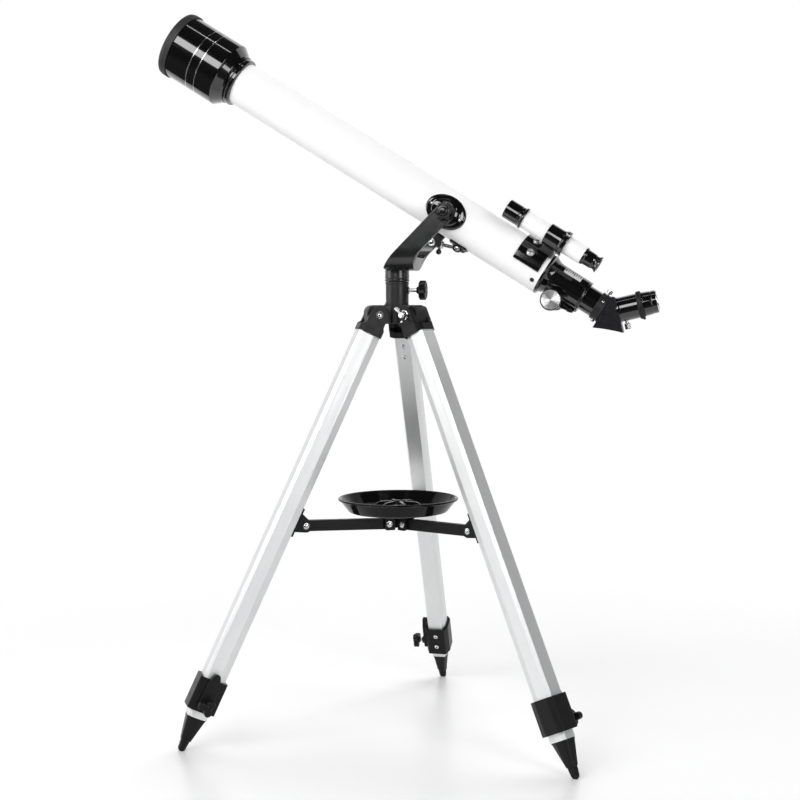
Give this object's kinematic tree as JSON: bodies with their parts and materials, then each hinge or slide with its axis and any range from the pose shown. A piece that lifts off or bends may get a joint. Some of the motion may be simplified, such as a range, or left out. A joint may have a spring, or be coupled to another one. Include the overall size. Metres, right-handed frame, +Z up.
{
  "type": "telescope on tripod",
  "caption": "Small refracting telescope with finder, diagonal and eyepiece, on a yoke mount and folding tripod with accessory tray.",
  "frame": {"origin": "on the floor, under the middle of the whole object's bounding box", "axes": "+Z up; the telescope lies in the XZ plane with its front towards -X and its eyepiece towards +X; +Y points away from the side with the finder"},
  "size_m": [0.686, 0.4762, 0.9903],
  "materials": {
    "black_plastic": "moulded black plastic, satin",
    "gloss_black_plastic": "polished black",
    "satin_black_plastic": "fine textured black",
    "cap_plastic": "dull dark grey",
    "yoke_paint": "satin black paint",
    "white_paint": "gloss white paint",
    "leg_aluminium": "satin anodised",
    "chrome_steel": "bright plated",
    "optical_glass": "clear coated glass"
  },
  "bodies": {
    "tripod_hub": {"hub": "black_plastic", "left_hinge_bolt": "chrome_steel", "right_hinge_bolt": "chrome_steel", "rear_hinge_bolt": "chrome_steel"},
    "left_leg": {"left_leg_cap": "black_plastic", "left_leg_tube": "leg_aluminium", "left_leg_clamp": "black_plastic", "left_leg_plate": "black_plastic"},
    "left_shin": {"left_shin": "leg_aluminium", "left_foot": "black_plastic"},
    "left_clamp_knob": {"left_clamp_knob": "black_plastic"},
    "left_wing_nut": {"left_wing_nut": "chrome_steel"},
    "left_arm": {"left_spreader_arm": "black_plastic"},
    "right_leg": {"right_leg_cap": "black_plastic", "right_leg_tube": "leg_aluminium", "right_leg_clamp": "black_plastic", "right_leg_plate": "black_plastic"},
    "right_shin": {"right_shin": "leg_aluminium", "right_foot": "black_plastic"},
    "right_clamp_knob": {"right_clamp_knob": "black_plastic"},
    "right_wing_nut": {"right_wing_nut": "chrome_steel"},
    "right_arm": {"right_spreader_arm": "black_plastic"},
    "rear_leg": {"rear_leg_cap": "black_plastic", "rear_leg_tube": "leg_aluminium", "rear_leg_clamp": "black_plastic", "rear_leg_plate": "black_plastic"},
    "rear_shin": {"rear_shin": "leg_aluminium", "rear_foot": "black_plastic"},
    "rear_clamp_knob": {"rear_clamp_knob": "black_plastic"},
    "rear_wing_nut": {"rear_wing_nut": "chrome_steel"},
    "rear_arm": {"rear_spreader_arm": "black_plastic"},
    "spreader_centre": {"spider": "black_plastic", "tray_screw": "black_plastic"},
    "tray": {"tray": "gloss_black_plastic"},
    "yoke": {"yoke": "yoke_paint"},
    "azimuth_lock": {"azimuth_lock": "black_plastic"},
    "optical_tube": {"main_tube": "white_paint", "near_trunnion_plate": "gloss_black_plastic", "far_trunnion_plate": "gloss_black_plastic", "rod_anchor": "black_plastic", "objective_cell": "gloss_black_plastic", "objective_lens": "optical_glass", "dew_shield": "gloss_black_plastic", "focuser_body": "gloss_black_plastic", "finder_bracket": "gloss_black_plastic", "finder_tube": "white_paint"},
    "near_altitude_knob": {"near_altitude_knob": "black_plastic"},
    "far_altitude_knob": {"far_altitude_knob": "black_plastic"},
    "slow_rod": {"slow_rod": "chrome_steel"},
    "swivel_block": {"swivel_block": "chrome_steel"},
    "rod_screw": {"rod_screw": "black_plastic"},
    "dust_cap": {"dust_cap": "cap_plastic"},
    "drawtube": {"drawtube": "gloss_black_plastic"},
    "focus_shaft": {"focus_shaft": "chrome_steel"},
    "draw_screw": {"draw_screw": "chrome_steel"},
    "diagonal": {"diagonal": "satin_black_plastic", "erecting_prism": "optical_glass"},
    "eyepiece": {"eyepiece": "gloss_black_plastic"},
    "eyepiece_screw": {"eyepiece_screw": "chrome_steel"},
    "finder_eyepiece": {"finder_eyepiece": "gloss_black_plastic"}
  },
  "joints": [
    {"name": "left_leg_fold", "type": "hinge", "parent": "tripod_hub", "child": "left_leg", "pos_m": [-0.03549, -0.08162, 0.57498], "axis": [0.4796, -0.8775, 0], "range_deg": [0, 4.5]},
    {"name": "left_leg_extend", "type": "slide", "parent": "left_leg", "child": "left_shin", "axis": [-0.3762, -0.2056, -0.9034], "range_m": [0, 0.4]},
    {"name": "left_clamp_turn", "type": "hinge", "parent": "left_leg", "child": "left_clamp_knob", "pos_m": [-0.24807, -0.19781, 0.06455], "axis": [0.4796, -0.8775, 0], "range_deg": [0, 360]},
    {"name": "left_nut_turn", "type": "hinge", "parent": "tripod_hub", "child": "left_wing_nut", "pos_m": [-0.03549, -0.08162, 0.57498], "axis": [0.4796, -0.8775, 0], "range_deg": [0, 360]},
    {"name": "left_arm_fold", "type": "hinge", "parent": "left_leg", "child": "left_arm", "pos_m": [-0.12438, -0.13021, 0.29275], "axis": [0.4796, -0.8775, 0], "range_deg": [0, 33.4]},
    {"name": "right_leg_fold", "type": "hinge", "parent": "tripod_hub", "child": "right_leg", "pos_m": [0.01646, -0.08284, 0.57498], "axis": [0.5201, 0.8541, 0], "range_deg": [0, 4.5]},
    {"name": "right_leg_extend", "type": "slide", "parent": "right_leg", "child": "right_shin", "axis": [0.3662, -0.223, -0.9034], "range_m": [0, 0.4]},
    {"name": "right_clamp_turn", "type": "hinge", "parent": "right_leg", "child": "right_clamp_knob", "pos_m": [0.22337, -0.20884, 0.06455], "axis": [0.5201, 0.8541, 0], "range_deg": [0, 360]},
    {"name": "right_nut_turn", "type": "hinge", "parent": "tripod_hub", "child": "right_wing_nut", "pos_m": [0.01646, -0.08284, 0.57498], "axis": [0.5201, 0.8541, 0], "range_deg": [0, 360]},
    {"name": "right_arm_fold", "type": "hinge", "parent": "right_leg", "child": "right_arm", "pos_m": [0.10297, -0.13553, 0.29275], "axis": [0.5201, 0.8541, 0], "range_deg": [0, 33.4]},
    {"name": "rear_leg_fold", "type": "hinge", "parent": "tripod_hub", "child": "rear_leg", "pos_m": [-0.00847, -0.03724, 0.57498], "axis": [-0.9997, 0.0234, 0], "range_deg": [0, 4.5]},
    {"name": "rear_leg_extend", "type": "slide", "parent": "rear_leg", "child": "rear_shin", "axis": [0.01, 0.4287, -0.9034], "range_m": [0, 0.4]},
    {"name": "rear_clamp_turn", "type": "hinge", "parent": "rear_leg", "child": "rear_clamp_knob", "pos_m": [-0.0028, 0.20495, 0.06455], "axis": [-0.9997, 0.0234, 0], "range_deg": [0, 360]},
    {"name": "rear_nut_turn", "type": "hinge", "parent": "tripod_hub", "child": "rear_wing_nut", "pos_m": [-0.00847, -0.03724, 0.57498], "axis": [-0.9997, 0.0234, 0], "range_deg": [0, 360]},
    {"name": "rear_arm_fold", "type": "hinge", "parent": "rear_leg", "child": "rear_arm", "pos_m": [-0.0061, 0.06402, 0.29275], "axis": [-0.9997, 0.0234, 0], "range_deg": [0, 33.4]},
    {"name": "spreader_lift", "type": "slide", "parent": "tripod_hub", "child": "spreader_centre", "axis": [0, 0, 1], "range_m": [0, 0.0652]},
    {"name": "tray_turn", "type": "hinge", "parent": "spreader_centre", "child": "tray", "pos_m": [-0.00917, -0.06724, 0.31], "axis": [0, 0, 1], "continuous": true},
    {"name": "azimuth", "type": "hinge", "parent": "tripod_hub", "child": "yoke", "pos_m": [-0.00917, -0.06724, 0.6], "axis": [0, 0, 1], "continuous": true},
    {"name": "azimuth_lock_turn", "type": "hinge", "parent": "tripod_hub", "child": "azimuth_lock", "pos_m": [0.01083, -0.06724, 0.60828], "axis": [1, 0, 0], "range_deg": [0, 360]},
    {"name": "altitude", "type": "hinge", "parent": "yoke", "child": "optical_tube", "pos_m": [0.06353, -0.06724, 0.71108], "axis": [0, 1, 0], "range_deg": [-32.17, 28]},
    {"name": "near_altitude_knob_turn", "type": "hinge", "parent": "optical_tube", "child": "near_altitude_knob", "pos_m": [0.06353, -0.11324, 0.71108], "axis": [0, -1, 0], "range_deg": [0, 360]},
    {"name": "far_altitude_knob_turn", "type": "hinge", "parent": "optical_tube", "child": "far_altitude_knob", "pos_m": [0.06353, -0.02124, 0.71108], "axis": [0, 1, 0], "range_deg": [0, 360]},
    {"name": "rod_swing", "type": "hinge", "parent": "optical_tube", "child": "slow_rod", "pos_m": [0.0739, -0.02043, 0.6637], "axis": [0, 1, 0], "range_deg": [-14.2, 16.3]},
    {"name": "block_swing", "type": "hinge", "parent": "yoke", "child": "swivel_block", "pos_m": [0.03203, -0.02043, 0.6742], "axis": [0, 1, 0], "range_deg": [-16.3, 14.2]},
    {"name": "rod_screw_turn", "type": "hinge", "parent": "swivel_block", "child": "rod_screw", "pos_m": [0.04212, -0.02043, 0.67167], "axis": [-0.2433, 0, -0.97], "range_deg": [0, 360]},
    {"name": "dust_cap_pull", "type": "slide", "parent": "optical_tube", "child": "dust_cap", "axis": [-0.8465, 0, 0.5324], "range_m": [0, 0.04]},
    {"name": "focus", "type": "slide", "parent": "optical_tube", "child": "drawtube", "axis": [0.8465, 0, -0.5324], "range_m": [-0.017, 0.075]},
    {"name": "focus_turn", "type": "hinge", "parent": "optical_tube", "child": "focus_shaft", "pos_m": [0.20272, -0.06724, 0.59429], "axis": [0, 1, 0], "range_deg": [-203.2, 895.6]},
    {"name": "draw_screw_turn", "type": "hinge", "parent": "drawtube", "child": "draw_screw", "pos_m": [0.27671, -0.06724, 0.60298], "axis": [0.5324, 0, 0.8465], "range_deg": [0, 360]},
    {"name": "diagonal_turn", "type": "hinge", "parent": "drawtube", "child": "diagonal", "pos_m": [0.26415, -0.06724, 0.58489], "axis": [-0.8465, 0, 0.5324], "continuous": true},
    {"name": "eyepiece_pull", "type": "slide", "parent": "diagonal", "child": "eyepiece", "axis": [0.975, 0, 0.2221], "range_m": [0, 0.03]},
    {"name": "eyepiece_screw_turn", "type": "hinge", "parent": "diagonal", "child": "eyepiece_screw", "pos_m": [0.30026, -0.06724, 0.56259], "axis": [0.2221, 0, -0.975], "range_deg": [0, 360]},
    {"name": "finder_focus_turn", "type": "hinge", "parent": "optical_tube", "child": "finder_eyepiece", "pos_m": [0.25504, -0.10356, 0.64554], "axis": [-0.8465, 0, 0.5324], "range_deg": [0, 360]}
  ],
  "couplings": [
    {"joint": "left_arm_fold", "follows": "left_leg_fold", "ratio": 7.3565},
    {"joint": "right_leg_fold", "follows": "left_leg_fold", "ratio": 1},
    {"joint": "right_arm_fold", "follows": "left_leg_fold", "ratio": 7.3565},
    {"joint": "rear_leg_fold", "follows": "left_leg_fold", "ratio": 1},
    {"joint": "rear_arm_fold", "follows": "left_leg_fold", "ratio": 7.3565},
    {"joint": "spreader_lift", "follows": "left_leg_fold", "m_per_rad": 0.8209},
    {"joint": "rod_swing", "follows": "altitude", "ratio": -0.5},
    {"joint": "block_swing", "follows": "altitude", "ratio": 0.5},
    {"joint": "focus_turn", "follows": "focus", "rad_per_m": 208.33}
  ]
}
